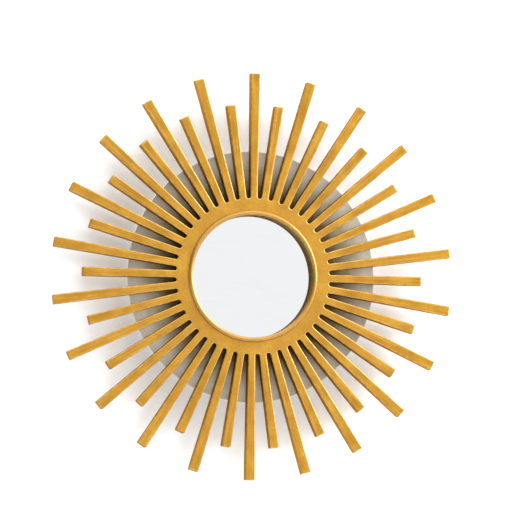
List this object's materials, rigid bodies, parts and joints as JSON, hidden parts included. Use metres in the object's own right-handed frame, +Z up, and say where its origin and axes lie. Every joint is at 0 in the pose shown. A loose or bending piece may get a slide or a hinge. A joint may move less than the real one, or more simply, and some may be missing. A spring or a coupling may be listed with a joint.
{
  "type": "sunburst wall mirror",
  "caption": "Round wall mirror in a gold sunburst frame of alternating long and short tapered rays on a pale backing disc, hung from a hinged D-ring.",
  "frame": {"origin": "on the wall plane, straight behind the centre of the glass", "axes": "+Y into the wall, so the front faces -Y; +Z up when hung; X across"},
  "size_m": [0.5956, 0.0345, 0.6],
  "materials": {
    "gold_paint": "satin metallic gold paint on fibreboard",
    "gold_bezel": "satin metallic gold paint on turned wood",
    "mirror_glass": "silvered float glass",
    "foam": "closed-cell foam",
    "cream_board": "matt cream paint on fibreboard",
    "zinc_steel": "bright zinc plate",
    "bumper_rubber": "matt rubber"
  },
  "bodies": {
    "mirror": {"sunburst_frame": "gold_paint", "mirror_bezel": "gold_bezel", "mirror_glass": "mirror_glass", "glass_pad_1": "foam", "glass_pad_2": "foam", "glass_pad_3": "foam", "glass_pad_4": "foam", "backing_disc": "cream_board", "hub_screws": "zinc_steel", "ray_screws": "zinc_steel", "hanger_strap": "zinc_steel", "hanger_screws": "zinc_steel", "wall_bumper_1": "bumper_rubber", "wall_bumper_2": "bumper_rubber", "wall_bumper_3": "bumper_rubber", "wall_bumper_4": "bumper_rubber"},
    "hanger_ring": {"hanger_ring": "zinc_steel"}
  },
  "joints": [
    {"name": "ring_hinge", "type": "hinge", "parent": "mirror", "child": "hanger_ring", "pos_m": [0, -0.00442, 0.148], "axis": [-1, 0, 0], "range_deg": [0, 175]}
  ]
}
